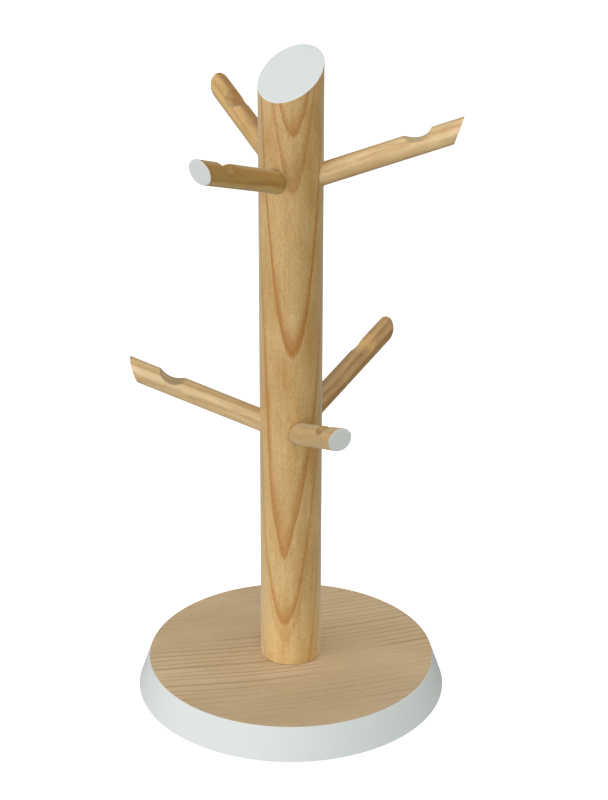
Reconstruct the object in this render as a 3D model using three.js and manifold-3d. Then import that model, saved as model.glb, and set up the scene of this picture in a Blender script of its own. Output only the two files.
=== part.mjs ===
// Mug tree: a round ash post with a slanted, painted top stands on a round veneered board, and six
// dowel branches rise out of it in two tiers of three. Each branch has a notch on top for a mug's
// handle and a slanted, painted end. One bolt from below holds the board to the post.
//
// Millimetres, +Z up. The post's axis is the Z axis, the pads stand on z = 0, and azimuths are
// degrees counter-clockwise from +X, seen from above.

import * as THREE from 'three';
import { mergeVertices } from 'three/addons/utils/BufferGeometryUtils.js';
import Module from 'manifold-3d';

const wasm = await Module();
wasm.setup();

// ---------------------------------------------------------------- driving dimensions

const FIT_GAP = 0.3; // clearance between a turned piece and the socket it sits in
const CUTTER_SIZE = 120; // any cutting block, larger than what it cuts

const BASE_HEIGHT = 18; // veneered board, both veneers included
const BASE_TOP_RADIUS = 81;
const BASE_FOOT_RADIUS = 87.3; // the rim is a plain cone, wider at the foot
const VENEER_THICKNESS = 0.6;

const PAD_THICKNESS = 1.5;
const PAD_RADIUS = 6;
const PAD_CIRCLE_RADIUS = 68;
const PAD_COUNT = 4;

const POST_RADIUS = 17;
const POST_CUT_HEIGHT = 334.8; // the slanted top where it crosses the axis, above the post's foot
const POST_CUT_TILT = 34.6;
const POST_CUT_AZIMUTH = 60; // the side the slanted top rises toward
const POST_FOOT_CHAMFER = 0.8;

const BRANCH_RADIUS = 6;
const BRANCH_START = 6.5; // inner end of the glued tenon, from the post's axis
const BRANCH_REACH = 92; // centre of the slanted end, from the post's axis
const BRANCH_END_TILT = 38.8; // the top of the end reaches further out than its bottom
const NOTCH_REACH = 71.6;
const NOTCH_RADIUS = 9;
const NOTCH_DEPTH = 4;

// Heights are where the branch's axis crosses the post's axis, above the post's foot.
const UPPER_TIER = 276.5;
const LOWER_TIER = 136.5;
const BRANCHES = [
  { name: 'branch_upper_front_left', azimuth: -119.5, rise: 17.5, height: UPPER_TIER },
  { name: 'branch_upper_right', azimuth: -10, rise: 20.5, height: UPPER_TIER },
  { name: 'branch_upper_back_left', azimuth: 116.5, rise: 20, height: UPPER_TIER + 1.5 },
  { name: 'branch_lower_left', azimuth: 178.5, rise: 23, height: LOWER_TIER },
  { name: 'branch_lower_front_right', azimuth: -73.5, rise: 20.5, height: LOWER_TIER - 0.5 },
  { name: 'branch_lower_back_right', azimuth: 51, rise: 22, height: LOWER_TIER + 0.5 },
];

const BOLT_RADIUS = 2.9; // M6 thread
const BOLT_LENGTH = 30;
const BOLT_HEAD_RADIUS = 5.25;
const BOLT_HEAD_HEIGHT = 3.3;
const BOLT_HEX_RADIUS = 2.3; // across the corners, for a 4 mm key
const BOLT_HEX_DEPTH = 2;
const WASHER_RADIUS = 9;
const WASHER_BORE_RADIUS = 3.3;
const WASHER_THICKNESS = 1.6;
const COUNTERBORE_RADIUS = 10;
const COUNTERBORE_DEPTH = 7;
const BOLT_HOLE_RADIUS = 3.5;

const INSERT_LENGTH = 15;
const INSERT_BORE_RADIUS = 3.15;
const INSERT_ROOT_RADIUS = 4.2;
const INSERT_RIDGE_RADIUS = 5;
const INSERT_PITCH = 2.5;
const INSERT_HOLE_RADIUS = 5.2;
const INSERT_HOLE_DEPTH = 21;
const INSERT_SETBACK = 1; // the insert lies this far inside the post's foot

const BASE_SEGMENTS = 96;
const POST_SEGMENTS = 64;
const BRANCH_SEGMENTS = 32;
const FASTENER_SEGMENTS = 32;

const BOARD_FOOT_Z = PAD_THICKNESS;
const BOARD_TOP_Z = BOARD_FOOT_Z + BASE_HEIGHT;
const SEAT_Z = BOARD_FOOT_Z + COUNTERBORE_DEPTH; // the washer bears up against this face

// ---------------------------------------------------------------- materials

function material(color, roughness, metalness = 0) {
  return new THREE.MeshStandardMaterial({ color, roughness, metalness });
}

const finishes = {
  post: () => material(0xc9a878, 0.55),
  branch: () => material(0xc4a06c, 0.55),
  veneer: () => material(0xb9997a, 0.6),
  board: () => material(0xe6e8e5, 0.5),
  steel: () => material(0xb8babd, 0.35, 1),
  brass: () => material(0xb59a5a, 0.4, 1),
  rubber: () => material(0x3a3a3c, 0.9),
};

// ---------------------------------------------------------------- solids

function toManifold(geometry) {
  const bare = geometry.clone();
  bare.deleteAttribute('normal');
  bare.deleteAttribute('uv');
  const welded = mergeVertices(bare, 1e-5);
  const vertProperties = new Float32Array(welded.attributes.position.array);
  const triVerts = new Uint32Array(welded.index.array);
  return new wasm.Manifold(new wasm.Mesh({ numProp: 3, vertProperties, triVerts }));
}

function toGeometry(solid) {
  const { vertProperties, triVerts } = solid.getMesh();
  const geometry = new THREE.BufferGeometry();
  geometry.setAttribute('position', new THREE.BufferAttribute(vertProperties, 3));
  geometry.setIndex(new THREE.BufferAttribute(triVerts, 1));
  geometry.computeVertexNormals();
  return geometry;
}

function cutAway(body, cutters) {
  const start = toManifold(body);
  const solid = cutters.reduce((rest, cutter) => rest.subtract(toManifold(cutter)), start);
  return toGeometry(solid);
}

// A solid of revolution about Z from [radius, z] corners, listed from the bottom up.
function turned(profile, segments) {
  const points = profile.map(([radius, z]) => new THREE.Vector2(radius, z));
  return new THREE.LatheGeometry(points, segments).rotateX(Math.PI / 2);
}

function rod(radius, bottom, top, segments) {
  return turned([[0, bottom], [radius, bottom], [radius, top], [0, top]], segments);
}

// A ring has its own inner wall: its profile closes on itself.
function ring(innerRadius, outerRadius, bottom, top, segments) {
  const inner = [innerRadius, bottom];
  const profile = [inner, [outerRadius, bottom], [outerRadius, top], [innerRadius, top], inner];
  return turned(profile, segments);
}

function radians(degrees) {
  return THREE.MathUtils.degToRad(degrees);
}

function named(name, geometry, finish) {
  const mesh = new THREE.Mesh(geometry, finish());
  mesh.name = name;
  return mesh;
}

// ---------------------------------------------------------------- base

function rimRadius(z) {
  const share = (z - BOARD_FOOT_Z) / BASE_HEIGHT;
  return THREE.MathUtils.lerp(BASE_FOOT_RADIUS, BASE_TOP_RADIUS, share);
}

function disc(bottom, top) {
  const profile = [[0, bottom], [rimRadius(bottom), bottom], [rimRadius(top), top], [0, top]];
  return turned(profile, BASE_SEGMENTS);
}

function makeBase() {
  const coreFoot = BOARD_FOOT_Z + VENEER_THICKNESS;
  const coreTop = BOARD_TOP_Z - VENEER_THICKNESS;
  const boltHole = rod(BOLT_HOLE_RADIUS, -1, BOARD_TOP_Z + 1, FASTENER_SEGMENTS);
  const counterbore = rod(COUNTERBORE_RADIUS, -1, SEAT_Z, FASTENER_SEGMENTS);
  const core = cutAway(disc(coreFoot, coreTop), [boltHole, counterbore]);
  const topVeneer = cutAway(disc(coreTop, BOARD_TOP_Z), [boltHole]);
  const backVeneer = cutAway(disc(BOARD_FOOT_Z, coreFoot), [counterbore]);
  return [
    named('base_core', core, finishes.board),
    named('base_top_veneer', topVeneer, finishes.veneer),
    named('base_backing_veneer', backVeneer, finishes.board),
  ];
}

function makePads() {
  return Array.from({ length: PAD_COUNT }, (_, index) => {
    const angle = (index + 0.5) * (2 * Math.PI / PAD_COUNT);
    const geometry = rod(PAD_RADIUS, 0, PAD_THICKNESS, FASTENER_SEGMENTS);
    const pad = named(`foot_pad_${index + 1}`, geometry, finishes.rubber);
    pad.position.set(PAD_CIRCLE_RADIUS * Math.cos(angle), PAD_CIRCLE_RADIUS * Math.sin(angle), 0);
    return pad;
  });
}

// ---------------------------------------------------------------- post

// The block above the slanted top, in the post's own frame with its foot at z = 0.
function topCutter() {
  const block = new THREE.BoxGeometry(CUTTER_SIZE, CUTTER_SIZE, CUTTER_SIZE);
  block.translate(0, 0, CUTTER_SIZE / 2);
  block.rotateY(-radians(POST_CUT_TILT));
  block.rotateZ(radians(POST_CUT_AZIMUTH));
  return block.translate(0, 0, POST_CUT_HEIGHT);
}

function socketCutter({ azimuth, rise, height }) {
  const start = BRANCH_START - FIT_GAP;
  const socket = rod(BRANCH_RADIUS + FIT_GAP, start, 2 * POST_RADIUS, BRANCH_SEGMENTS);
  socket.rotateY(Math.PI / 2 - radians(rise));
  socket.rotateZ(radians(azimuth));
  return socket.translate(0, 0, height);
}

function makePost() {
  const tall = POST_CUT_HEIGHT + 2 * POST_RADIUS;
  const narrow = POST_RADIUS - POST_FOOT_CHAMFER;
  const profile = [[0, 0], [narrow, 0], [POST_RADIUS, POST_FOOT_CHAMFER], [POST_RADIUS, tall], [0, tall]];
  const insertHole = rod(INSERT_HOLE_RADIUS, -1, INSERT_HOLE_DEPTH, FASTENER_SEGMENTS);
  const cutters = [topCutter(), insertHole, ...BRANCHES.map(socketCutter)];
  const post = named('post', cutAway(turned(profile, POST_SEGMENTS), cutters), finishes.post);
  post.position.z = BOARD_TOP_Z;
  return post;
}

// ---------------------------------------------------------------- branches

// A branch lies along its own +X from the post's axis, with its notch on the +Z side.
function branchGeometry() {
  const spare = BRANCH_REACH + 2 * BRANCH_RADIUS;
  const dowel = rod(BRANCH_RADIUS, BRANCH_START, spare, BRANCH_SEGMENTS).rotateY(Math.PI / 2);
  const notch = rod(NOTCH_RADIUS, -CUTTER_SIZE / 2, CUTTER_SIZE / 2, POST_SEGMENTS);
  notch.rotateX(Math.PI / 2);
  notch.translate(NOTCH_REACH, 0, BRANCH_RADIUS - NOTCH_DEPTH + NOTCH_RADIUS);
  const endBlock = new THREE.BoxGeometry(CUTTER_SIZE, CUTTER_SIZE, CUTTER_SIZE);
  endBlock.translate(CUTTER_SIZE / 2, 0, 0);
  endBlock.rotateY(radians(BRANCH_END_TILT));
  endBlock.translate(BRANCH_REACH, 0, 0);
  return cutAway(dowel, [notch, endBlock]);
}

function makeBranches() {
  return BRANCHES.map(({ name, azimuth, rise, height }) => {
    const branch = named(name, branchGeometry(), finishes.branch);
    branch.rotation.set(0, -radians(rise), radians(azimuth), 'ZYX');
    branch.position.z = BOARD_TOP_Z + height;
    return branch;
  });
}

// ---------------------------------------------------------------- fastening

function makeBolt() {
  const headTop = SEAT_Z - WASHER_THICKNESS;
  const headFoot = headTop - BOLT_HEAD_HEIGHT;
  const domeRadius = BOLT_HEAD_RADIUS * 0.62;
  const tip = headTop + BOLT_LENGTH;
  const profile = [
    [0, headFoot], [domeRadius, headFoot], [BOLT_HEAD_RADIUS * 0.88, headFoot + BOLT_HEAD_HEIGHT * 0.3],
    [BOLT_HEAD_RADIUS, headTop - BOLT_HEAD_HEIGHT * 0.25], [BOLT_HEAD_RADIUS, headTop],
    [BOLT_RADIUS, headTop], [BOLT_RADIUS, tip - 1], [BOLT_RADIUS - 0.8, tip], [0, tip],
  ];
  const hexKey = rod(BOLT_HEX_RADIUS, headFoot - 1, headFoot + BOLT_HEX_DEPTH, 6);
  const geometry = cutAway(turned(profile, FASTENER_SEGMENTS), [hexKey]);
  return named('base_bolt', geometry, finishes.steel);
}

function makeWasher() {
  const foot = SEAT_Z - WASHER_THICKNESS;
  const geometry = ring(WASHER_BORE_RADIUS, WASHER_RADIUS, foot, SEAT_Z, FASTENER_SEGMENTS);
  return named('bolt_washer', geometry, finishes.steel);
}

// The insert's outer thread is drawn as level ridges one pitch apart.
function makeInsert() {
  const foot = BOARD_TOP_Z + INSERT_SETBACK;
  const ridgeCount = Math.floor(INSERT_LENGTH / INSERT_PITCH);
  const profile = [[INSERT_BORE_RADIUS, foot], [INSERT_ROOT_RADIUS, foot]];
  for (let index = 0; index < ridgeCount; index += 1) {
    const middle = foot + (index + 0.5) * INSERT_PITCH;
    profile.push([INSERT_ROOT_RADIUS, middle - 0.7], [INSERT_RIDGE_RADIUS, middle - 0.15]);
    profile.push([INSERT_RIDGE_RADIUS, middle + 0.15], [INSERT_ROOT_RADIUS, middle + 0.7]);
  }
  profile.push([INSERT_ROOT_RADIUS, foot + INSERT_LENGTH], [INSERT_BORE_RADIUS, foot + INSERT_LENGTH]);
  profile.push([INSERT_BORE_RADIUS, foot]);
  return named('threaded_insert', turned(profile, FASTENER_SEGMENTS), finishes.brass);
}

// ---------------------------------------------------------------- assembly

const mugTree = new THREE.Group();
mugTree.name = 'mug_tree';
mugTree.add(...makeBase(), ...makePads(), makePost(), ...makeBranches());
mugTree.add(makeInsert(), makeWasher(), makeBolt());

export default mugTree;
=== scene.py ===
# %% [markdown]
# # A mug tree in ash and white paint
# The object is a stand for mugs. A round ash post stands on a round veneered board, and six short
# dowels, the branches, rise out of the post in two tiers. The post's slanted top, the branches'
# slanted ends and the board's rim are painted white.
#
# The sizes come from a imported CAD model, which this script loads first and never moves. Each piece
# is then built again as a finer mesh in the same place, given its finish, and tied to the frame.
# Lengths are written in millimetres and turned into Blender's metres by MM.

# %% Load the frame
import math
from functools import partial

import bpy
import numpy as np
from mathutils import Matrix, Vector


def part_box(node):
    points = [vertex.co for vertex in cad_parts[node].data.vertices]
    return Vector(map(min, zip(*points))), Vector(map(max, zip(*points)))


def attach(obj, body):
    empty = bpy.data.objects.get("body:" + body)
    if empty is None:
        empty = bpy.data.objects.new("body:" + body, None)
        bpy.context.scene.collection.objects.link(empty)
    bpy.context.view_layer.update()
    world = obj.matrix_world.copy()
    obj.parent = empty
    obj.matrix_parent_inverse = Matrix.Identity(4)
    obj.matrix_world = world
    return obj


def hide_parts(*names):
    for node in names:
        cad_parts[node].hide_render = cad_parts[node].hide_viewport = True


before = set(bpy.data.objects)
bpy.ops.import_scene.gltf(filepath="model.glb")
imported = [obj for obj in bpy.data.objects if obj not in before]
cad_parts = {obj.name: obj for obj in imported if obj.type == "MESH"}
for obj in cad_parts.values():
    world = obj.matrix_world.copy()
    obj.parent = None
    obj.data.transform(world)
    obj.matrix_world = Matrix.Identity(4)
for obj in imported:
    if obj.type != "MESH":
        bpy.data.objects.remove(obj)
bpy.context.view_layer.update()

MM = 0.001

# %% [markdown]
# ## Sizes, read from the frame
# A box around each CAD node gives most sizes: how thick the board is, how wide the post is, and at
# what height it stands. Reading them here, and not typing them again, keeps both models the same
# size when the CAD changes.

# %% Measure the frame
def box_mm(node):
    """The lowest and highest corner of a CAD node, in millimetres."""
    low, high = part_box(node)
    return np.array(low) / MM, np.array(high) / MM


def radius_of(node):
    """The radius of a round node that stands on the Z axis."""
    low, high = box_mm(node)
    return (high[0] - low[0]) / 2


BOARD_FOOT = box_mm("base_backing_veneer")[0][2]
BOARD_TOP = box_mm("base_top_veneer")[1][2]
CORE_FOOT, CORE_TOP = box_mm("base_core")[0][2], box_mm("base_core")[1][2]
RIM_FOOT_RADIUS = radius_of("base_backing_veneer")
POST_RADIUS = radius_of("post")
POST_HIGH_POINT = box_mm("post")[1][2]
PADS = sorted(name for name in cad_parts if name.startswith("foot_pad"))
BRANCHES = sorted(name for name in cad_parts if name.startswith("branch"))
print("board", round(BOARD_FOOT, 2), "to", round(BOARD_TOP, 2), "post radius", round(POST_RADIUS, 2))
print(len(BRANCHES), "branches,", len(PADS), "pads")

# %% [markdown]
# ## Where a branch points
# A branch is turned two ways, so its box doesn't give its direction. Its CAD solid does: the inner
# end is cut square, so that end's corners lie in a plane whose normal is the branch's axis. The
# middle of those corners is a point on the axis, and it gives the branch's own frame: X runs out
# along the dowel, and Z is as close to upright as it can be.

# %% Read each branch's own frame
def plane_normal(points):
    """The direction in which the points spread least."""
    return np.linalg.svd(points - points.mean(axis=0))[2][2]


def branch_frame(node):
    """A matrix from the branch's own frame to the row's, in millimetres, and where its dowel starts."""
    corners = np.array([v.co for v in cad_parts[node].data.vertices]) / MM
    outward = corners.mean(axis=0) * [1, 1, 0]
    reach = np.linalg.norm(corners[:, :2], axis=1)
    near_the_middle = corners[reach < POST_RADIUS]
    axis = plane_normal(near_the_middle)
    axis = axis * np.sign(axis @ outward)
    side = np.cross([0, 0, 1], axis)
    side = side / np.linalg.norm(side)
    inner_end = near_the_middle.mean(axis=0)
    start = np.linalg.norm(inner_end[:2]) / np.linalg.norm(axis[:2])
    origin = inner_end - start * axis
    turn = np.column_stack([axis, side, np.cross(axis, side)])
    return turn, origin, start


for name in BRANCHES:
    turn, origin, start = branch_frame(name)
    azimuth = math.degrees(math.atan2(turn[1, 0], turn[0, 0]))
    rise = math.degrees(math.asin(turn[2, 0]))
    print(name, "azimuth", round(azimuth, 1), "rise", round(rise, 1), "height", round(origin[2], 1))

# %% [markdown]
# ## The camera
# The camera stands in front of the object and looks down at it from a little above its top. A long
# lens, from about a metre away, keeps the post's sides nearly upright. The shift slides the picture
# sideways without turning the camera, so the post stands left of the middle.

# %% Camera
CAMERA_DISTANCE = 941.8
CAMERA_HEIGHT = 567.8
CAMERA_PITCH = 22.63
CAMERA_LENS = 84.65
CAMERA_SHIFT = 0.01635

camera_data = bpy.data.cameras.new("camera")
camera_data.lens = CAMERA_LENS
camera_data.shift_x = CAMERA_SHIFT
camera = bpy.data.objects.new("camera", camera_data)
camera.location = (0, -CAMERA_DISTANCE * MM, CAMERA_HEIGHT * MM)
camera.rotation_euler = (math.radians(90 - CAMERA_PITCH), 0, 0)
bpy.context.scene.collection.objects.link(camera)
bpy.context.scene.camera = camera
print("camera at", [round(value, 3) for value in camera.location])

# %% [markdown]
# ## Shader maths written as Python
# A finish is a graph of nodes, and graphs are slow to read. `Signal` wraps one output of a node, so
# that an expression such as `1 - mask * 0.5` adds the Math nodes that compute it. Some operators
# have a reflected twin, which Python uses when a plain number stands on the left. Only single
# numbers go through a Signal: a Math node turns a colour grey, so colours are mixed by a Mix node.

# %% A signal
class Signal:
    """One number that varies over a surface: the output of a node."""

    def __init__(self, finish, socket):
        self.finish = finish
        self.socket = socket

    def math(self, operation, *others):
        return self.finish.math(operation, self, *others)

    def __add__(self, other):
        return self.math("ADD", other)

    def __sub__(self, other):
        return self.math("SUBTRACT", other)

    def __rsub__(self, other):
        return self.finish.math("SUBTRACT", other, self)

    def __mul__(self, other):
        return self.math("MULTIPLY", other)

    def __truediv__(self, other):
        return self.math("DIVIDE", other)

    def __pow__(self, other):
        return self.math("POWER", other)

    __radd__ = __add__
    __rmul__ = __mul__


# %% [markdown]
# `Finish` is the material. Its `node` method adds any node: the type, then the settings, then the
# values or links of the sockets. The settings come first, because they decide which sockets there
# are. The other methods are the few nodes that this object needs again and again. A point's place
# is taken in the piece's own frame, so a pattern stays in the wood when the piece is moved.

# %% A finish
class Finish:
    """A material, and the nodes that make it."""

    def __init__(self, name):
        self.material = bpy.data.materials.new(name)
        self.material.use_nodes = True
        self.nodes = self.material.node_tree.nodes
        self.links = self.material.node_tree.links
        self.shader = self.nodes["Principled BSDF"]

    def node(self, kind, settings=None, sockets=None, out=0):
        """Adds a node: its settings first, then its sockets' values or links. Returns one output."""
        made = self.nodes.new(kind)
        for key, value in (settings or {}).items():
            setattr(made, key, value)
        for key, value in (sockets or {}).items():
            self.feed(self.pick(made.inputs, key), value)
        return Signal(self, self.pick(made.outputs, out))

    def pick(self, sockets, key):
        """A socket by its place, or by its name among those that the settings leave switched on."""
        if isinstance(key, int):
            return sockets[key]
        return next(socket for socket in sockets if socket.enabled and socket.name == key)

    def feed(self, socket, value):
        if isinstance(value, Signal):
            self.links.new(value.socket, socket)
        else:
            socket.default_value = value

    def math(self, operation, *values):
        return self.node("ShaderNodeMath", {"operation": operation}, dict(enumerate(values)))

    def set(self, **values):
        """Values or links for the surface shader's own sockets, such as base_color=..."""
        for key, value in values.items():
            name = key.replace("_", " ").title().replace("Ior", "IOR")
            self.feed(self.shader.inputs[name], value)

    def place(self):
        """The point being shaded, in the piece's own frame, in millimetres."""
        here = self.node("ShaderNodeTexCoord", out="Object")
        return self.node("ShaderNodeVectorMath", {"operation": "SCALE"}, {0: here, "Scale": 1 / MM})

    def split(self, vector):
        return [self.node("ShaderNodeSeparateXYZ", None, {0: vector}, out=axis) for axis in "XYZ"]

    def join(self, x, y, z):
        return self.node("ShaderNodeCombineXYZ", None, {"X": x, "Y": y, "Z": z})

    def distance(self, a, b):
        """How far a point is from a line, from its two distances square to it."""
        return (a * a + b * b).math("SQRT")

    def grazing(self):
        """0 where the surface is seen square on, rising to 1 where it turns out of sight."""
        return self.node("ShaderNodeLayerWeight", None, {"Blend": 0.5}, out="Facing")

    def noise(self, vector, scale=1.0, detail=2.0, seed=0.0):
        """Soft noise around 0.5. seed slides it along a fourth axis, to get another pattern."""
        sockets = {"Vector": vector, "W": seed, "Scale": scale, "Detail": detail, "Roughness": 0.5}
        return self.node("ShaderNodeTexNoise", {"noise_dimensions": "4D"}, sockets)

    def spread(self, value, low, high, to_low=0.0, to_high=1.0):
        """Moves a value from one range to another, smoothly, and holds it at the ends."""
        settings = {"interpolation_type": "SMOOTHSTEP"}
        sockets = {"Value": value, "From Min": low, "From Max": high}
        sockets.update({"To Min": to_low, "To Max": to_high})
        return self.node("ShaderNodeMapRange", settings, sockets)

    def blend(self, share, colour, other):
        sockets = {"Factor": share, "A": colour, "B": other}
        return self.node("ShaderNodeMix", {"data_type": "RGBA"}, sockets, out="Result")

    def shade(self, amount, colour):
        """The colour made lighter or darker by a factor around 1."""
        settings = {"data_type": "RGBA", "blend_type": "MULTIPLY"}
        grey = self.join(amount, amount, amount)
        sockets = {"Factor": 1.0, "A": colour, "B": grey}
        return self.node("ShaderNodeMix", settings, sockets, out="Result")

    def bump(self, height, depth):
        """A normal from a height between 0 and 1, where 1 is depth millimetres high."""
        sockets = {"Strength": 1.0, "Distance": depth * MM, "Height": height}
        return self.node("ShaderNodeBump", None, sockets)

    def done(self):
        """The finished material, after a line that says how large its graph is."""
        print("finish", self.material.name, "has", len(self.nodes), "nodes")
        return self.material


def colour(red, green, blue):
    """A colour given as it looks on screen, from 0 to 255, turned into the linear values of a shader."""
    def linear(value):
        value = value / 255
        return value / 12.92 if value <= 0.04045 else ((value + 0.055) / 1.055) ** 2.4
    return (linear(red), linear(green), linear(blue), 1.0)


# %% [markdown]
# ## Ash wood
# A growth ring starts with a row of large open pores, the early wood, which is darker and
# rougher, and fades into dense, pale late wood. In the tree the rings are tubes around the pith.
# Where a straight cut crosses those tubes at a slant, they show as nested arches. So the figure
# isn't painted on: the wood is described as a solid, by how far each point is from the pith, and
# the arches then appear wherever the surface cuts it.
#
# `rings` adds one dark, fading band above each ring's edge. `grain` gives streaks of any width and
# length along the wood. Its finest and strongest streaks are the open pores, most of all in the early
# wood. Where the surface turns out of sight, the colour is made paler: a painted sheen, which stands in
# for the white surroundings reflected at a grazing angle.

# %% Parts of every wood
RING_ONSET = 0.12
# the tone and the share of the painted sheen: the paler colour where the wood turns out of sight
PAINTED_SHEEN_TONE = (222, 206, 164)
PAINTED_SHEEN_SHARE = 0.6
FULLY_GRAZING = 0.95


def rings(finish, depth, edges):
    """How strongly each ring's early wood shows at a depth: (edge, strength, fade) for each ring."""
    total = 0.0
    for edge, strength, fade in edges:
        onset = finish.spread(depth, edge - RING_ONSET, edge + RING_ONSET, 0.0, strength)
        total = onset * finish.spread(depth, edge, edge + fade, 1.0, 0.0) + total
    return total


def grain(finish, place, width, length, seed, detail=2.0):
    """Noise around 0, drawn out along the wood: each streak is about width across and length long.
    place gives the two distances across the wood and then the one along it."""
    x, y, along = place
    stretched = finish.join(x * (1 / width), y * (1 / width), along * (1 / length))
    return finish.noise(stretched, detail=detail, seed=seed) - 0.5


def painted_sheen(finish, tint, start):
    """The colour made paler from where the surface starts to turn away: a painted sheen, which stands in
    for the white surroundings reflected at a grazing angle.
    """
    pale = finish.spread(finish.grazing(), start, FULLY_GRAZING, 0.0, PAINTED_SHEEN_SHARE)
    return finish.blend(pale, tint, colour(*PAINTED_SHEEN_TONE))


def relief(finish, pore, fine, fine_height=0.3, depth=0.03):
    """The bump of a face after sanding: level wood, with sunken pores and fine ridges."""
    return finish.bump(0.6 - pore * 0.6 + fine * fine_height, depth)


# %% [markdown]
# ### The post's rings
# The post was turned from a plank whose pith lay well behind it, and the tree narrowed toward the
# post's top, so the rings cut its front face as arches that point down. Three things keep the
# arches from looking drawn. The plank's face isn't quite square to the front, and drifts by some
# degrees from foot to top. The rings wander a little. And low down a ridge in them, such as a
# buried twig leaves, draws one arch out to a point.

# %% Rings of the post
PITH_BEHIND = 70
PLANK_TURN_FOOT, PLANK_TURN_TOP = -0.21, 0.07
TAPER, TAPER_EASE, TAPER_RISE = 0.1, 0.00018, 2.8e-7
WANDER_DEPTH = 0.9
RIDGE_WIDTH, RIDGE_DEPTH = 6.0, 0.8

# each ring's edge, in millimetres from the skin, how strongly it shows, and over what depth it fades
POST_RINGS = [
    (-33.0, 0.6, 1.4), (-28.5, 0.8, 1.2), (-24.0, 0.6, 1.8), (-20.0, 0.7, 1.2), (-16.0, 0.8, 1.4),
    (-12.5, 0.6, 1.8), (-8.7, 0.7, 1.3), (-4.9, 0.8, 1.1), (1.9, 0.25, 1.0), (2.9, 0.8, 1.1),
    (7.1, 0.8, 2.4), (14.1, 1.0, 1.4), (19.9, 0.6, 1.2), (21.7, 0.85, 1.0),
]


def post_depth(finish, x, y, z):
    """How far out of the tree a point lay, counted from the front of the post's foot."""
    height = z - BOARD_TOP
    plank_turn = finish.spread(height, 70, 200, PLANK_TURN_FOOT, PLANK_TURN_TOP)
    across = x + y * plank_turn
    from_pith = finish.distance(across, x * plank_turn - y + PITH_BEHIND)
    taper = height * TAPER - height ** 2 * TAPER_EASE + height ** 3 * TAPER_RISE
    wander = finish.noise(finish.join(x * 0.05, y * 0.05, z * 0.016), detail=1.0, seed=3.0) - 0.5
    ridge = finish.spread(across.math("ABSOLUTE"), 0.0, RIDGE_WIDTH, RIDGE_DEPTH, 0.0)
    ridge = ridge * finish.spread(height, 40, 70) * finish.spread(height, 90, 130, 1.0, 0.0)
    return from_pith - (PITH_BEHIND + POST_RADIUS) + taper + wander * WANDER_DEPTH + ridge


arches = sum(edge > 0 for edge, *_ in POST_RINGS)
print(len(POST_RINGS), "rings cross the post, and", arches, "of them arch in front")

# %% [markdown]
# ### The post's colour
# Between the rings the colour drifts slowly from straw to tan, and short flecks break it up. All the
# streaks share one curl, so they lean together as real fibres do. One side of the plank is more olive
# and the foot is a little paler. The walls inside the sockets are painted dark as shade, which draws a
# thin line round each branch, and the wood is painted paler where it turns out of sight, as a painted
# sheen.

# %% Post wood
STRAW, TAN, POST_EARLY, POST_PORE = (220, 188, 131), (194, 148, 83), (184, 120, 48), (160, 108, 52)
POST_CURL = 3.0
PALE_FOOT_HEIGHT = 240
OLIVE_REACH = 11.0
SKIN_DEPTH, INSIDE_DEPTH = 0.2, 1.2
# how dark the painted shade on the walls inside the sockets is
PAINTED_SOCKET_SHADE = 0.35


def post_wood():
    finish = Finish("post_ash")
    x, y, z = finish.split(finish.place())
    curl = finish.noise(finish.join(x * 0.1, y * 0.1, z * 0.045), detail=1.0, seed=20.0) * POST_CURL
    curled = (x + curl, y + curl, z)
    feather = grain(finish, curled, 0.5, 5.0, seed=1.0)
    early = rings(finish, post_depth(finish, x, y, z) + feather * 0.35, POST_RINGS)
    fine = grain(finish, curled, 0.45, 1.9, seed=5.0)
    fleck = grain(finish, curled, 0.9, 1.8, seed=8.0)
    streak = grain(finish, curled, 1.8, 26.0, seed=10.0)
    mottle = grain(finish, curled, 1.5, 1.5, seed=21.0)
    broad = grain(finish, curled, 100 / 9, 100 / 3, seed=11.0, detail=3.0)
    open_streaks = grain(finish, curled, 0.45, 2.6, seed=14.0)
    pore = finish.spread(open_streaks + early * 0.08, 0.04, 0.2)
    olive = finish.spread(curled[0], 0.0, OLIVE_REACH)
    foot = finish.spread(z - BOARD_TOP, 0.0, PALE_FOOT_HEIGHT, 1.0, 0.0)
    figure = broad * 2.0 + streak * 0.8 + fleck * 1.3 + mottle * 0.7
    tint = finish.blend(figure + olive * 0.2 - foot * 0.22 + 0.42, colour(*STRAW), colour(*TAN))
    tint = finish.blend((early * 0.9).math("MINIMUM", 1.0), tint, colour(*POST_EARLY))
    tint = finish.blend(pore * 0.4, tint, colour(*POST_PORE))
    contrast = fine * 0.6 + fleck * 0.45 + mottle * 0.32
    tint = finish.shade(contrast - olive * 0.08 + foot * 0.09 + 1.0, tint)
    # painted sheen: paler where the post turns out of sight, standing in for a grazing reflection
    tint = painted_sheen(finish, tint, start=0.4)
    # painted shade: the walls inside the sockets are darkened, so the gap round each branch shows dark
    inside, skin = POST_RADIUS - INSIDE_DEPTH, POST_RADIUS - SKIN_DEPTH
    socket = finish.spread(finish.distance(x, y), inside, skin, PAINTED_SOCKET_SHADE, 1.0)
    finish.set(base_color=finish.shade(socket, tint), roughness=early * 0.08 + pore * 0.1 + 0.5)
    finish.set(normal=relief(finish, pore, fine))
    finish.set(specular_ior_level=0.25, sheen_weight=0.4, sheen_roughness=0.38)
    return finish.done()


# %% [markdown]
# ### The branches
# The branches are shop-bought dowels, each from its own stick, with the grain running along it. Their
# rings are nearly level with the axis, so they show as long streaks and, on one or two sides, as long
# narrow arches. Each takes its own seed, so no two are alike. One side of each dowel is painted darker,
# as shade where less light falls on it. The notch is cut across the fibres, which leaves a face that is
# rougher, and in its own wood darker than the dowel's skin. On some dowels the notch is also painted
# lighter or darker by how it faces the light.

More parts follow.
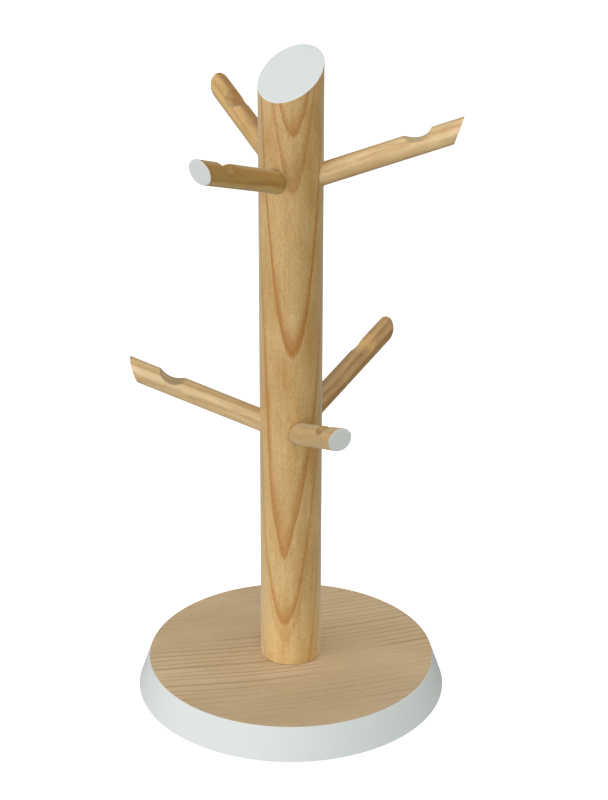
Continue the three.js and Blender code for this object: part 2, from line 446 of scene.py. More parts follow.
# %% Branch wood
BRANCH_RADIUS = 6.0
NOTCH_REACH = 71.6
NOTCH_RADIUS = 9.0
NOTCH_DEPTH = 4.0
NOTCH_CENTRE = BRANCH_RADIUS - NOTCH_DEPTH + NOTCH_RADIUS
DOWEL_PITH_AWAY = 45.0
DOWEL_RING = 4.6
DARKENING = (0.66, 0.5, 0.36)
DOWEL_PORE = (146, 104, 60)


def dowel_depth(finish, x, y, z, seed):
    """Which ring a point of the dowel lies in. The seed decides on which side the pith lay."""
    roll = seed * 2.4
    across = y * math.cos(roll) + z * math.sin(roll)
    outward = z * math.cos(roll) - y * math.sin(roll) + DOWEL_PITH_AWAY
    wander = finish.noise(finish.join(x * 0.01, y * 0.06, z * 0.06), detail=1.0, seed=seed) - 0.5
    feather = grain(finish, (y, z, x), 0.5, 9.0, seed=seed + 1.0)
    return finish.distance(across, outward) + x * 0.02 + wander * 3.0 + feather * 0.7 + seed * 1.7


def branch_wood(name, tone, shaded_side, side_shading, notch_tone_and_light, seed):
    """tone is the dowel's palest wood. The darkest is the same colour, but darker and warmer."""
    pale = colour(*tone)
    dark = (*[part * share for part, share in zip(pale, DARKENING)], 1.0)
    finish = Finish(name)
    x, y, z = finish.split(finish.place())
    along = (y, z, x)
    phase = (dowel_depth(finish, x, y, z, seed) / DOWEL_RING).math("FRACT")
    early = finish.spread(phase, 0.0, 0.1) * finish.spread(phase, 0.1, 0.7, 1.0, 0.0)
    fine = grain(finish, along, 0.35, 9.0, seed=seed + 5.0)
    streak = grain(finish, along, 2.6, 14.0, seed=seed + 7.0, detail=1.0)
    fleck = grain(finish, along, 0.7, 4.0, seed=seed + 8.0, detail=1.0)
    open_streaks = grain(finish, along, 0.25, 4.0, seed=seed + 9.0, detail=1.0)
    pore = finish.spread(open_streaks + early * 0.06, 0.12, 0.22)
    # painted shade: one side of the dowel is darkened where less light falls on it
    side = y * math.cos(math.radians(shaded_side)) + z * math.sin(math.radians(shaded_side))
    painted_side_shade = finish.spread(side, -0.5 * BRANCH_RADIUS, 0.8 * BRANCH_RADIUS, 0.0, side_shading)
    tint = finish.blend(early * 0.42 + streak * 1.1 + fleck * 0.5 + painted_side_shade + 0.1, pale, dark)
    tint = finish.shade(fine * 0.25 + fleck * 0.2 + 1.0, tint)
    tint = finish.blend(pore * 0.3, tint, colour(*DOWEL_PORE))
    from_notch = finish.distance(x - NOTCH_REACH, z - NOTCH_CENTRE)
    cut = finish.spread(from_notch, NOTCH_RADIUS, NOTCH_RADIUS + 0.5, 1.0, 0.0)
    # the notch's face: darker cut wood, and on some dowels painted lighter or darker by how it faces the
    # light
    tint = finish.shade(cut * (notch_tone_and_light - 1.0) + 1.0, tint)
    # painted sheen: paler where the dowel turns out of sight, standing in for a grazing reflection
    tint = painted_sheen(finish, tint, start=0.58)
    finish.set(base_color=tint, roughness=early * 0.08 + cut * 0.25 + 0.36)
    finish.set(normal=relief(finish, pore, fine))
    finish.set(specular_ior_level=0.5, sheen_weight=0.12, sheen_roughness=0.4)
    return finish.done()


print("notch", round(2 * math.sqrt(NOTCH_RADIUS ** 2 - (NOTCH_RADIUS - NOTCH_DEPTH) ** 2), 1), "mm wide")

# %% [markdown]
# ### The board's veneer
# The board is faced with a thin leaf of ash, sliced so that the rings stand on edge: the figure is
# straight, thin, dark lines a few millimetres apart, turned a little from the object's front. The
# leaf bends them: they sag at the left, curve over the whole width and wander a little. They are
# faint in front and behind. The leaf is matt, and pinker and greyer than the post.

# %% Veneer
VENEER_TURN = 14.5
VENEER_RING = 4.7
LINE_CURVE = 0.0005
LINE_SAG = 3.5
LINE_BEND = 7.0
LEAF_PALE, LEAF_TAN = (239, 211, 170), (226, 196, 151)
LEAF_LINE, LEAF_PORE = (196, 163, 122), (165, 134, 98)


def veneer_depth(finish, place):
    """Across the lines of the figure, in millimetres, with all their bends taken out."""
    across, _, along = place
    bend = finish.noise(finish.join(along * 0.008, across * 0.02, 0.0), detail=1.0, seed=2.0) - 0.5
    sag = finish.spread(along, -10, -80, 0.0, LINE_SAG)
    sag = sag * finish.spread(across.math("ABSOLUTE"), 25, 60, 1.0, 0.0)
    feather = grain(finish, place, 0.5, 14.0, seed=4.0)
    return across - along * along * LINE_CURVE - sag + bend * LINE_BEND + feather * 0.7


def veneer_wood():
    finish = Finish("base_veneer_ash")
    x, y, z = finish.split(finish.place())
    turn = math.radians(VENEER_TURN)
    along = x * math.cos(turn) + y * math.sin(turn)
    across = y * math.cos(turn) - x * math.sin(turn)
    place = (across, z, along)
    depth = veneer_depth(finish, place)
    uneven = finish.noise(finish.join(0.0, depth * 0.11, 0.0), detail=1.0, seed=6.0)
    phase = (depth / VENEER_RING + uneven * 2.0).math("FRACT")
    patches = finish.noise(finish.join(along * 0.01, across * 0.035, 0.0), detail=1.0, seed=9.0)
    line = finish.spread(phase, 0.0, 0.42, 1.0, 0.0) * finish.spread(patches, 0.4, 0.58, 0.15, 1.0)
    line = line * finish.spread(across, -45, -20, 0.55, 1.0) * finish.spread(across, 20, 55, 1.0, 0.5)
    fine = grain(finish, place, 0.4, 7.0, seed=12.0)
    mottle = grain(finish, place, 2.0, 6.0, seed=13.0)
    broad = grain(finish, place, 14.0, 40.0, seed=14.0)
    open_streaks = grain(finish, place, 0.3, 3.5, seed=15.0, detail=1.0)
    pore = finish.spread(open_streaks + line * 0.05, 0.1, 0.22)
    leaf = finish.blend(broad * 1.8 + mottle * 0.9 + 0.5, colour(*LEAF_PALE), colour(*LEAF_TAN))
    tint = finish.blend(line * 0.8, leaf, colour(*LEAF_LINE))
    darker_front = finish.spread(across, -60, -12, -0.17, 0.0) + along * 0.0006
    tint = finish.shade(fine * 0.25 + mottle * 0.2 + darker_front + 1.0, tint)
    tint = finish.blend(pore * 0.35, tint, colour(*LEAF_PORE))
    finish.set(base_color=tint, roughness=line * 0.06 + 0.58)
    finish.set(normal=relief(finish, pore, fine, fine_height=0.2, depth=0.02), specular_ior_level=0.35)
    return finish.done()


print("about", round(2 * RIM_FOOT_RADIUS / VENEER_RING), "lines across the board")

# %% [markdown]
# ### White paint, bare board and the fittings
# The paint is a satin sprayed coat: nearly flat, with a very fine ripple that only shows where
# light grazes it. The board under it is fibreboard, which shows inside the bolt's hole.

# %% Paint and board
def white_paint():
    finish = Finish("white_paint")
    place = finish.place()
    ripple = finish.noise(place, scale=0.9, seed=1.0)
    cloud = finish.noise(place, scale=0.03, seed=2.0) - 0.5
    tint = finish.shade(cloud * 0.03 + (ripple - 0.5) * 0.015 + 1.0, colour(232, 237, 235))
    finish.set(base_color=tint, roughness=ripple * 0.08 + 0.5, normal=finish.bump(ripple, 0.012))
    finish.set(specular_ior_level=0.25)
    return finish.done()


PAINT = white_paint()


def fibreboard():
    finish = Finish("fibreboard")
    place = finish.place()
    fluff = finish.noise(place, scale=4.0, detail=4.0, seed=1.0)
    tint = finish.shade((fluff - 0.5) * 0.5 + 1.0, colour(176, 142, 104))
    finish.set(base_color=tint, roughness=fluff * 0.1 + 0.8, normal=finish.bump(fluff, 0.1))
    return finish.done()


# %% [markdown]
# The bolt and washer are zinc plated, the insert is brass, and the pads are black foam rubber.
# None of them shows when the stand is up, but they are there when it is turned over.

# %% Metal and rubber
def zinc_steel():
    finish = Finish("zinc_steel")
    place = finish.place()
    mottle = finish.noise(place, scale=1.2, detail=3.0, seed=1.0)
    tint = finish.shade((mottle - 0.5) * 0.25 + 1.0, colour(196, 200, 205))
    finish.set(base_color=tint, metallic=1.0, roughness=mottle * 0.25 + 0.22)
    finish.set(normal=finish.bump(mottle, 0.006))
    return finish.done()


def bare_brass():
    finish = Finish("bare_brass")
    place = finish.place()
    mottle = finish.noise(place, scale=0.8, detail=3.0, seed=1.0)
    tint = finish.shade((mottle - 0.5) * 0.3 + 1.0, colour(204, 174, 104))
    finish.set(base_color=tint, metallic=1.0, roughness=mottle * 0.2 + 0.26)
    finish.set(normal=finish.bump(mottle, 0.006))
    return finish.done()


def foam_rubber():
    finish = Finish("foam_rubber")
    place = finish.place()
    cells = finish.noise(place, scale=5.0, seed=1.0)
    tint = finish.shade((cells - 0.5) * 0.8 + 1.0, colour(52, 52, 54))
    finish.set(base_color=tint, roughness=cells * 0.1 + 0.85, normal=finish.bump(cells, 0.08))
    return finish.done()


# %% [markdown]
# ## Meshes from rings of points
# Every piece here is round in section, so one helper makes them all: it takes a list of rings, each
# with the same number of points, joins each ring to the next with four-sided faces, and closes the
# two ends with a fan round a middle point. The edges where two surfaces meet are rounded by a
# few extra rings along a small curve, as sanding would do, so they catch the light.

# %% Helpers for meshes
FULL_TURN = 2 * math.pi


def angles(count):
    return np.arange(count) * (FULL_TURN / count)


def eased(side, corner, face, steps=4):
    """Rings that round a corner: a curve from side to face that leans toward the corner between."""
    shares = np.linspace(0, 1, steps + 1)
    return [(1 - t) ** 2 * side + 2 * t * (1 - t) * corner + t ** 2 * face for t in shares]


def fans(count, last, low_middle):
    """Triangles that close the first ring and the last round their middle points."""
    faces = []
    for index in range(count):
        beside = (index + 1) % count
        faces.append((low_middle, beside, index))
        faces.append((low_middle + 1, last + index, last + beside))
    return faces


def stack(name, rings_of_points, turn=np.eye(3), origin=(0, 0, 0), ring=False):
    """A closed mesh object from rings in millimetres, in a frame of its own turned and placed.
    With ring, the last ring joins the first, so the piece has a hole through it."""
    count, rows = len(rings_of_points[0]), len(rings_of_points)
    middles = [] if ring else [[rings_of_points[0].mean(axis=0), rings_of_points[-1].mean(axis=0)]]
    points = np.vstack([*rings_of_points, *middles]) * MM
    faces = []
    for row in range(rows if ring else rows - 1):
        below, above = row * count, (row + 1) % rows * count
        for index in range(count):
            beside = (index + 1) % count
            faces.append((below + index, below + beside, above + beside, above + index))
    if not ring:
        faces += fans(count, (rows - 1) * count, rows * count)
    mesh = bpy.data.meshes.new(name)
    mesh.from_pydata(points.tolist(), [], faces)
    mesh.validate()
    mesh.shade_smooth()
    piece = bpy.data.objects.new(name, mesh)
    placed = Matrix(turn.tolist()).to_4x4()
    placed.translation = Vector(origin) * MM
    piece.matrix_world = placed
    bpy.context.scene.collection.objects.link(piece)
    return piece


def turned(name, profile, segments, **placing):
    """A piece turned about Z from a list of (radius, height)."""
    theta = angles(segments)
    circle = np.column_stack([np.cos(theta), np.sin(theta)])

    def level(radius, height):
        return np.column_stack([circle * radius, np.full(segments, height)])

    return stack(name, [level(*point) for point in profile], **placing)


def rounded(profile, radius, steps=4):
    """The profile with each inner corner replaced by a short curve."""
    corners = [np.array(point, float) for point in profile]
    path = [corners[0]]
    for before, corner, after in zip(corners, corners[1:], corners[2:]):
        back = (before - corner) / np.linalg.norm(before - corner)
        ahead = (after - corner) / np.linalg.norm(after - corner)
        room = min(radius, np.linalg.norm(before - corner) / 2, np.linalg.norm(after - corner) / 2)
        path += eased(corner + back * room, corner, corner + ahead * room, steps)
    return path + [corners[-1]]


# %% [markdown]
# Holes are drilled as in a workshop: a cylinder the size of the drill is taken out of the piece. The
# result is kept as a plain mesh, so that no modifier and no cutter is left in the scene.

# %% Drilling
def bored(piece, cutters):
    """The piece with the cutters taken out of it."""
    for cutter in cutters:
        cut = piece.modifiers.new("cut", "BOOLEAN")
        cut.object = cutter
        cut.solver = "EXACT"
    bpy.context.view_layer.update()
    evaluated = piece.evaluated_get(bpy.context.evaluated_depsgraph_get())
    mesh = bpy.data.meshes.new_from_object(evaluated)
    mesh.name = piece.name
    piece.modifiers.clear()
    old = piece.data
    piece.data = mesh
    bpy.data.meshes.remove(old)
    for cutter in cutters:
        bpy.data.objects.remove(cutter)
    return piece


def drill(radius, bottom, top, segments=64):
    return turned("drill", [(radius, bottom), (radius, top)], segments)


# %% [markdown]
# Last, a piece gets its finish and is tied to the frame: it rides on a body, and the CAD node that it
# stands for is hidden. White paint is a second material on the same piece, because it is a coat on the
# wood and no piece of its own.

# %% Finishing a piece
SHARP_ANGLE = 35


def finished(piece, node, material, painted=None):
    """Gives the piece its finish, ties it to the root body and hides the CAD node that it stands for.
    The faces whose middle, in millimetres, and normal pass the test in painted are white."""
    piece.data.materials.clear()
    piece.data.materials.append(material)
    if painted:
        piece.data.materials.append(PAINT)
        for face in piece.data.polygons:
            if painted(np.array(face.center) / MM, np.array(face.normal)):
                face.material_index = 1
    piece.data.set_sharp_from_angle(angle=math.radians(SHARP_ANGLE))
    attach(piece, "root")
    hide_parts(node)
    print(piece.name, len(piece.data.vertices), "points,", len(piece.data.polygons), "faces")


# %% [markdown]
# ## The board
# The board is a disc of fibreboard between two leaves of veneer. Its rim is a plain cone, cut after
# the leaves were pressed on, and painted over all three. The rim's edges are eased by a fraction of
# a millimetre, so the paint holds on them.

# %% Board: core and two veneers
BOARD_SEGMENTS = 256
RIM_EASE = 0.45
BOLT_HOLE_RADIUS = 3.5
COUNTERBORE_CLEARANCE = 1.0
LEVEL_FACING = 0.985
INNER_RADIUS = RIM_FOOT_RADIUS / 2
counterbore_radius = radius_of("bolt_washer") + COUNTERBORE_CLEARANCE
counterbore_top = box_mm("bolt_washer")[1][2]


def rim_radius(height):
    """The rim's radius at a height: a straight line through the two veneers' widest places."""
    share = (height - BOARD_FOOT) / (CORE_TOP - BOARD_FOOT)
    return RIM_FOOT_RADIUS + (radius_of("base_top_veneer") - RIM_FOOT_RADIUS) * share


def rim_point(height):
    return (rim_radius(height), height)


def on_the_rim(middle, normal):
    """Faces near the edge of the board that don't look straight up or down."""
    return abs(normal[2]) < LEVEL_FACING and math.hypot(middle[0], middle[1]) > INNER_RADIUS


def ring_piece(name, profile, segments=BOARD_SEGMENTS):
    """A turned piece with a hole through it: the profile runs out, up, in and down to its start."""
    return turned(name, profile, segments, ring=True)


core = ring_piece("base_board", [
    (counterbore_radius, CORE_FOOT),
    rim_point(CORE_FOOT),
    rim_point(CORE_TOP),
    (BOLT_HOLE_RADIUS, CORE_TOP),
    (BOLT_HOLE_RADIUS, counterbore_top),
    (counterbore_radius, counterbore_top),
])
finished(core, "base_core", fibreboard(), on_the_rim)

top_edge = rounded([rim_point(CORE_TOP), rim_point(BOARD_TOP), (INNER_RADIUS, BOARD_TOP)], RIM_EASE)
face = ring_piece("base_face_veneer", [
    (BOLT_HOLE_RADIUS, CORE_TOP),
    *top_edge,
    (BOLT_HOLE_RADIUS, BOARD_TOP),
])
finished(face, "base_top_veneer", veneer_wood(), on_the_rim)

inner_foot = (INNER_RADIUS, BOARD_FOOT)
back_edge = rounded([inner_foot, rim_point(BOARD_FOOT), rim_point(CORE_FOOT)], RIM_EASE)
back = ring_piece("base_back_veneer", [
    (counterbore_radius, BOARD_FOOT),
    *back_edge,
    (counterbore_radius, CORE_FOOT),
])
finished(back, "base_backing_veneer", PAINT)

# %% [markdown]
# ## The post
# The post is a cylinder whose top ring follows the slanted cut. The plane of that cut is read from the
# corners of the CAD solid, as the branches' directions were. Six drilled sockets take the branches. They
# are a hair wider than the dowels, and their walls are painted dark as shade. Together these leave the
# fine dark line that shows round a branch's foot where it enters the post.

# %% Post: blank, slanted top and sockets
POST_SEGMENTS = 224
POST_RISES = 24
POST_CHAMFER = 0.8
CUT_EASE = 0.35
SOCKET_GAP = 0.18
INSERT_HOLE_GAP = 0.2
INSERT_HOLE_END = 21
SOCKET_END_GAP = 0.3
SOCKET_SEGMENTS = 96
DRILL_OVERRUN = 5
TOP_CAP_SHARES = (0.8, 0.5, 0.2)
TOP_PAINT_FACING = 0.9


def post_cut():
    """The slanted top: its unit normal, and its height where it crosses the post's axis."""
    corners = np.array([v.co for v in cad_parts["post"].data.vertices]) / MM
    corners = corners[corners[:, 2] > POST_HIGH_POINT - 1.5 * POST_RADIUS]
    normal = plane_normal(corners)
    normal = normal * np.sign(normal[2])
    middle = corners.mean(axis=0)
    return normal, middle[2] + (normal[:2] @ middle[:2]) / normal[2]


CUT_NORMAL, CUT_HEIGHT = post_cut()
print("top cut at", round(CUT_HEIGHT, 1), "tilt", round(math.degrees(math.acos(CUT_NORMAL[2])), 1))


def post_rings():
    theta = angles(POST_SEGMENTS)
    circle = np.column_stack([np.cos(theta), np.sin(theta)])

    def level(radius, height):
        return np.column_stack([circle * radius, np.full(POST_SEGMENTS, height)])

    def on_cut(radius):
        flat = circle * radius
        return np.column_stack([flat, CUT_HEIGHT - flat @ CUT_NORMAL[:2] / CUT_NORMAL[2]])

    foot = level(POST_RADIUS - POST_CHAMFER, BOARD_TOP)
    waist = level(POST_RADIUS, BOARD_TOP + POST_CHAMFER)
    corner = on_cut(POST_RADIUS)
    side = corner - [0, 0, CUT_EASE]
    sides = [waist + (side - waist) * share for share in np.linspace(0, 1, POST_RISES)]
    rim = eased(side, corner, on_cut(POST_RADIUS - CUT_EASE))
    cap = [on_cut(POST_RADIUS * share) for share in TOP_CAP_SHARES]
    return [foot, *sides, *rim[1:], *cap]


def socket_drill(node):
    turn, origin, start = branch_frame(node)
    upright = np.column_stack([turn[:, 1], turn[:, 2], turn[:, 0]])
    radius = BRANCH_RADIUS + SOCKET_GAP
    profile = [(radius, start - SOCKET_END_GAP), (radius, 2 * POST_RADIUS)]
    return turned("drill", profile, SOCKET_SEGMENTS, turn=upright, origin=origin)


post = stack("post_ash", post_rings())
insert_hole = radius_of("threaded_insert") + INSERT_HOLE_GAP
insert_drill = drill(insert_hole, BOARD_TOP - DRILL_OVERRUN, BOARD_TOP + INSERT_HOLE_END)
bored(post, [socket_drill(node) for node in BRANCHES] + [insert_drill])


def on_slanted_top(middle, normal):
    return normal @ CUT_NORMAL > TOP_PAINT_FACING


finished(post, "post", post_wood(), on_slanted_top)

# %% [markdown]
# ## The branches
# Each branch is one dowel: a tenon inside the post, a notch sawn across its top and smoothed with
# sandpaper, where a mug's handle rests, and an end cut at a slant, so the top reaches further out than
# the underside.
# The notch is made without a cut: points of the dowel that lie above the notch's round surface are
# moved straight down onto it. Where the two surfaces meet, a smooth minimum rounds the edge, as
# sandpaper does.

# %% Branches
BRANCH_SEGMENTS = 160
NOTCH_EASE = 0.6
NOTCH_STEP = 0.35
END_EASE = 0.45
TENON_EASE = 0.4
FIRST_PLAIN_RING = 4
PLAIN_RINGS = 16
TIP_SHARE = 0.87
END_PAINT_FACING = 0.75
NECK_SHARES = (0, 0.35, 0.7, 1)
END_CAP_SHARES = (0.7, 0.35)


def smooth_minimum(a, b, width):
    share = np.clip(0.5 + 0.5 * (b - a) / width, 0, 1)
    return b + (a - b) * share - width * share * (1 - share)


def notched(points):
    """Moves down the points of a dowel that lie above its notch."""
    away = np.abs(points[:, 0] - NOTCH_REACH)
    inside = np.clip(NOTCH_RADIUS ** 2 - away ** 2, 0, None)
    surface = np.where(away < NOTCH_RADIUS, NOTCH_CENTRE - np.sqrt(inside), 10 * BRANCH_RADIUS)
    low = smooth_minimum(points[:, 2], surface, NOTCH_EASE)
    return np.column_stack([points[:, 0], points[:, 1], low])


def branch_end(node):
    """The slanted end in the branch's own frame: where it meets the axis, and how far it leans."""
    turn, origin, _ = branch_frame(node)
    corners = np.array([v.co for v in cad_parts[node].data.vertices]) / MM
    local = (corners - origin) @ turn
    tip = local[local[:, 0] > TIP_SHARE * local[:, 0].max()]
    normal = plane_normal(tip)
    normal = normal * np.sign(normal[0])
    middle = tip.mean(axis=0)
    lean = -normal[2] / normal[0]
    return middle[0] - lean * middle[2], lean


def branch_rings(start, reach, lean):
    theta = angles(BRANCH_SEGMENTS)
    circle = np.column_stack([np.cos(theta), np.sin(theta)])

    def level(radius, x):
        return np.column_stack([np.full(BRANCH_SEGMENTS, x), circle * radius])

    def on_end(radius):
        flat = circle * radius
        return np.column_stack([reach + lean * flat[:, 1], flat])

    notch_start = NOTCH_REACH - NOTCH_RADIUS
    notch_end = NOTCH_REACH + NOTCH_RADIUS
    tenon = [level(BRANCH_RADIUS - TENON_EASE, start), level(BRANCH_RADIUS, start + TENON_EASE)]
    places = np.linspace(start + FIRST_PLAIN_RING, notch_start, PLAIN_RINGS)
    plain = [level(BRANCH_RADIUS, x) for x in places]
    fine = np.arange(notch_start + NOTCH_STEP, notch_end, NOTCH_STEP)
    seat = [notched(level(BRANCH_RADIUS, x)) for x in fine]
    corner = on_end(BRANCH_RADIUS)
    side = corner - [END_EASE, 0, 0]
    after = level(BRANCH_RADIUS, notch_end)
    neck = [after + (side - after) * share for share in NECK_SHARES]
    rim = eased(side, corner, on_end(BRANCH_RADIUS - END_EASE))
    cap = [on_end(BRANCH_RADIUS * share) for share in END_CAP_SHARES]
    return [*tenon, *plain, *seat, *neck, *rim[1:], *cap]


def on_slanted_end(end_normal, middle, normal):
    """Faces of the cut. The dowel's underside faces the same way by 0.63, so the test is above it."""
    return normal @ end_normal > END_PAINT_FACING and middle[0] > NOTCH_REACH


# %% [markdown]
# The six dowels share one shape and differ in their wood. Each line below gives a dowel's palest wood,
# the side that is painted darker as shade, in degrees, how strongly that painted shade shows, and how
# light the notch is beside the skin. That last is the cut wood's own tone, with painted light on the
# dowels whose notch faces toward or away from the light.

# %% The six branches
BRANCH_TONES = {
    "branch_upper_front_left": ((216, 182, 106), 60, 0.85, 0.9),
    "branch_upper_right": ((244, 214, 160), 120, 0.15, 0.9),
    "branch_upper_back_left": ((230, 192, 128), 160, 1.1, 0.9),
    "branch_lower_left": ((237, 208, 156), 90, 0.1, 0.78),
    "branch_lower_front_right": ((218, 180, 116), 90, 0.15, 0.85),
    "branch_lower_back_right": ((208, 173, 114), 180, 0.45, 1.18),
}

for seed, node in enumerate(BRANCHES):
    turn, origin, start = branch_frame(node)
    reach, lean = branch_end(node)
    end_normal = np.array([1, 0, -lean]) / math.hypot(1, lean)
    piece = stack(node.replace("branch", "dowel"), branch_rings(start, reach, lean), turn, origin)
    wood = branch_wood(f"branch_ash_{seed + 1}", *BRANCH_TONES[node], seed + 1.0)
    finished(piece, node, wood, partial(on_slanted_end, end_normal))
    print("  reach", round(reach, 1), "end tilt", round(math.degrees(math.atan(lean)), 1))

# %% [markdown]
# ## Bolt, washer and insert
# A threaded insert is screwed into the post's foot, and one button-head bolt draws the board up
# against the post. Both threads are real helices: on a ring of points at one height, a point's
# radius depends on how far round the turn it lies. The hexagon for the key is cut out of the head.

# %% Fasteners
THREAD_PITCH = 1.0
THREAD_DEPTH = 0.55
COARSE_PITCH = 2.5
FASTENER_SEGMENTS = 48
HEX_RADIUS = 2.3
HEX_DEPTH = 2.0
BOLT_CREST = 2.95
BOLT_SHOULDER = 1.5
BOLT_POINT = 1.1
BOLT_THREAD_START, BOLT_THREAD_END, BOLT_THREAD_STOP = 1.6, 0.6, 0.5
SHARPNESS, COARSE_SHARPNESS = 1.2, 1.6
HEAD_EASE = 0.3
WASHER_BORE = 3.3
WASHER_EASE = 0.25
INSERT_MOUTH = 3.6
INSERT_ROOT, INSERT_CREST = 3.05, 3.45
COARSE_DEPTH = 0.9
INSERT_CHAMFER = 1.0
THREAD_INSET = 0.4

# the button head's outline: a share of its radius, and a height above its lowest point
HEAD_DOME = [(0.55, 0.0), (0.85, 0.7), (1.0, 2.3)]


def thread(height, theta, pitch):
    """A ridge that climbs one pitch a turn: 1 at its crest, 0 at its root."""
    phase = (height / pitch - theta / FULL_TURN) % 1
    return 1 - np.abs(2 * phase - 1)


def threaded_ring(height, root, crest, pitch, sharpness=1.0):
    theta = angles(FASTENER_SEGMENTS)
    radius = root + (crest - root) * np.minimum(1, thread(height, theta, pitch) * sharpness)
    return np.column_stack([np.cos(theta) * radius, np.sin(theta) * radius, np.full(len(theta), height)])


def plain_ring(radius, height):
    return threaded_ring(height, radius, radius, 1.0)


def make_bolt():
    foot, tip = box_mm("base_bolt")[0][2], box_mm("base_bolt")[1][2]
    head_radius = radius_of("base_bolt")
    head_top = box_mm("bolt_washer")[0][2]
    root, shoulder = BOLT_CREST - THREAD_DEPTH, head_top + BOLT_SHOULDER
    dome = [(head_radius * share, foot + rise) for share, rise in HEAD_DOME]
    neck = [(head_radius, head_top), (BOLT_CREST, head_top), (BOLT_CREST, shoulder)]
    rings_up = [plain_ring(radius, height) for radius, height in rounded(dome + neck, HEAD_EASE)]
    for height in np.arange(head_top + BOLT_THREAD_START, tip - BOLT_THREAD_END, THREAD_PITCH / 8):
        rings_up.append(threaded_ring(height, root, BOLT_CREST, THREAD_PITCH, SHARPNESS))
    rings_up += [plain_ring(root, tip - BOLT_THREAD_STOP), plain_ring(BOLT_CREST - BOLT_POINT, tip)]
    bolt = stack("button_head_bolt", rings_up)
    bored(bolt, [drill(HEX_RADIUS, foot - 2, foot + HEX_DEPTH, segments=6)])
    finished(bolt, "base_bolt", zinc_steel())


def make_washer():
    low, high = box_mm("bolt_washer")[0][2], box_mm("bolt_washer")[1][2]
    outer = radius_of("bolt_washer")
    middle = ((WASHER_BORE + outer) / 2, low)
    corners = [(outer, low), (outer, high), (WASHER_BORE, high), (WASHER_BORE, low)]
    edge = rounded([middle, *corners, middle], WASHER_EASE)
    levels = [plain_ring(radius, height) for radius, height in edge[:-1]]
    finished(stack("flat_washer", levels, ring=True), "bolt_washer", zinc_steel())


def make_insert():
    low, high = box_mm("threaded_insert")[0][2], box_mm("threaded_insert")[1][2]
    crest = radius_of("threaded_insert")
    root, chamfer = crest - COARSE_DEPTH, crest - INSERT_CHAMFER
    first, last = low + THREAD_INSET, high - THREAD_INSET
    up = np.arange(first, last, COARSE_PITCH / 16)
    outside = [threaded_ring(height, root, crest, COARSE_PITCH, COARSE_SHARPNESS) for height in up]
    down = np.arange(last, first, -THREAD_PITCH / 6)
    bore = (INSERT_ROOT, INSERT_CREST, THREAD_PITCH, SHARPNESS)
    inside = [threaded_ring(height, *bore) for height in down]
    foot = [plain_ring(INSERT_MOUTH, low), plain_ring(chamfer, low)]
    top = [plain_ring(chamfer, high), plain_ring(INSERT_MOUTH, high)]
    levels = [*foot, *outside, *top, *inside]
    finished(stack("brass_insert", levels, ring=True), "threaded_insert", bare_brass())


make_bolt()
make_washer()
make_insert()

# %% [markdown]
# ## Foot pads
# The pads are discs punched from a sheet of foam, with a soft lower edge.

# %% Pads
PAD_SEGMENTS = 64
PAD_EASE = 0.5
PAD_EDGE_WIDTH = 2

rubber = foam_rubber()
for node in PADS:
    low, high = box_mm(node)
    radius = (high[0] - low[0]) / 2
    inner = radius - PAD_EDGE_WIDTH
    edge = rounded([(inner, 0), (radius, 0), (radius, high[2]), (inner, high[2])], PAD_EASE)
    centre = ((low[0] + high[0]) / 2, (low[1] + high[1]) / 2, 0)
    finished(turned(node + "_foam", edge, PAD_SEGMENTS, origin=centre), node, rubber)

# %% [markdown]
# ## Floor, backdrop and light
# The object stands in a bright white studio. Its light comes from large soft boxes, because a large
# source gives slow changes of brightness round the post and no hard shadow. The strongest stands at
# the left, so the paint is brightest there. Weaker ones in front, at the right and above open up
# the other sides.
#
# The last box is a card that only shows in reflections: it draws the broad, pale highlight along
# the lacquered dowels. The floor and the backdrop glow white for the camera and light nothing, so
# the background stays pure white.

# %% Studio
FLOOR_SIZE = 8.0
BACKDROP_RADIUS = 5.0
SOFT_BOX_DISTANCE = 1.8
SOFT_BOX_SIZE = 1.6
LIT_POINT = (0, 0, 0.17)
FLOOR_GLOW, FLOOR_REFLECTANCE = 0.97, 0.6
BACKDROP_GLOW, BACKDROP_REFLECTANCE = 1.0, 0.0
AIR_TONE, AIR_STRENGTH = (1.0, 0.93, 0.82, 1.0), 0.215

# each soft box's place round the object and its rise, in degrees, its power and its tone
SOFT_BOXES = {
    "left_light": (-160, 5, 19.0, (1.0, 1.0, 1.05)),
    "front_left_light": (-120, 5, 5.0, (1.0, 1.0, 1.0)),
    "front_light": (-80, 10, 9.6, (0.95, 1.0, 1.02)),
    "right_light": (-20, 20, 7.0, (0.91, 1.0, 1.0)),
    "top_light": (0, 90, 10.6, (0.94, 0.99, 1.06)),
}


def stage_finish(name, glow, reflectance):
    finish = Finish(name)
    finish.set(base_color=(reflectance, reflectance, reflectance, 1.0), roughness=1.0)
    finish.set(emission_color=(1.0, 1.0, 1.0, 1.0), emission_strength=glow, specular_ior_level=0.0)
    return finish.done()


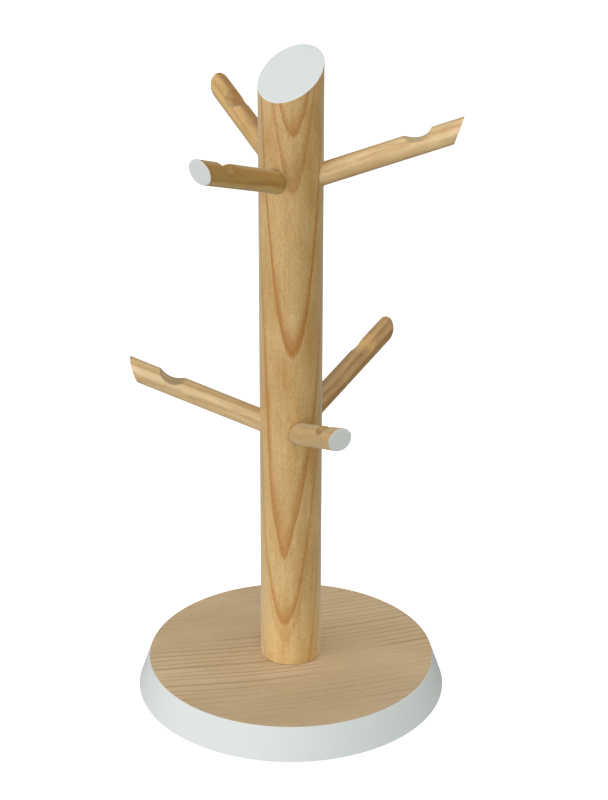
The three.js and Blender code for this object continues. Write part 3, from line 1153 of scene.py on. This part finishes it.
def soft_light(name, azimuth, rise, size, power, tone=(1.0, 1.0, 1.0)):
    """A round soft box, aimed at the middle of the object from one distance."""
    data = bpy.data.lights.new(name, "AREA")
    data.shape = "DISK"
    data.size = size
    data.energy = power
    data.color = tone
    lamp = bpy.data.objects.new(name, data)
    turn, lift = math.radians(azimuth), math.radians(rise)
    level = math.cos(lift)
    toward = Vector((level * math.cos(turn), level * math.sin(turn), math.sin(lift)))
    lamp.location = Vector(LIT_POINT) + toward * SOFT_BOX_DISTANCE
    lamp.rotation_euler = (-toward).to_track_quat("-Z", "Y").to_euler()
    bpy.context.scene.collection.objects.link(lamp)
    return lamp


# %% [markdown]
# The floor is a white disc, and the backdrop a sphere round everything.

# %% Floor and backdrop
bpy.ops.mesh.primitive_circle_add(vertices=96, radius=FLOOR_SIZE / 2, fill_type="NGON")
floor = bpy.context.object
floor.name = "studio_floor"
floor.data.materials.append(stage_finish("floor_white", FLOOR_GLOW, FLOOR_REFLECTANCE))
floor.visible_diffuse = False
floor.visible_glossy = False

bpy.ops.mesh.primitive_uv_sphere_add(segments=48, ring_count=24, radius=BACKDROP_RADIUS)
backdrop = bpy.context.object
backdrop.name = "studio_backdrop"
backdrop_white = stage_finish("backdrop_white", BACKDROP_GLOW, BACKDROP_REFLECTANCE)
backdrop.data.materials.append(backdrop_white)
backdrop.visible_diffuse = False
backdrop.visible_glossy = False
backdrop.visible_transmission = False
backdrop.visible_shadow = False
print("floor", FLOOR_SIZE, "m wide, backdrop", 2 * BACKDROP_RADIUS, "m wide")

# %% [markdown]
# Then the soft boxes, the card, and a weak, warm light from all sides, as white walls give.

# %% Light
for name, (azimuth, rise, power, tone) in SOFT_BOXES.items():
    soft_light(name, azimuth, rise, SOFT_BOX_SIZE, power, tone)
sheen = soft_light("sheen_card", azimuth=-105, rise=20, size=2.2, power=26)
sheen.visible_diffuse = False

world = bpy.data.worlds.new("studio_air")
world.use_nodes = True
background = world.node_tree.nodes["Background"]
background.inputs["Color"].default_value = AIR_TONE
background.inputs["Strength"].default_value = AIR_STRENGTH
bpy.context.scene.world = world
bpy.context.scene.view_settings.view_transform = "Standard"
print(len(SOFT_BOXES), "soft boxes and a card for the sheen")
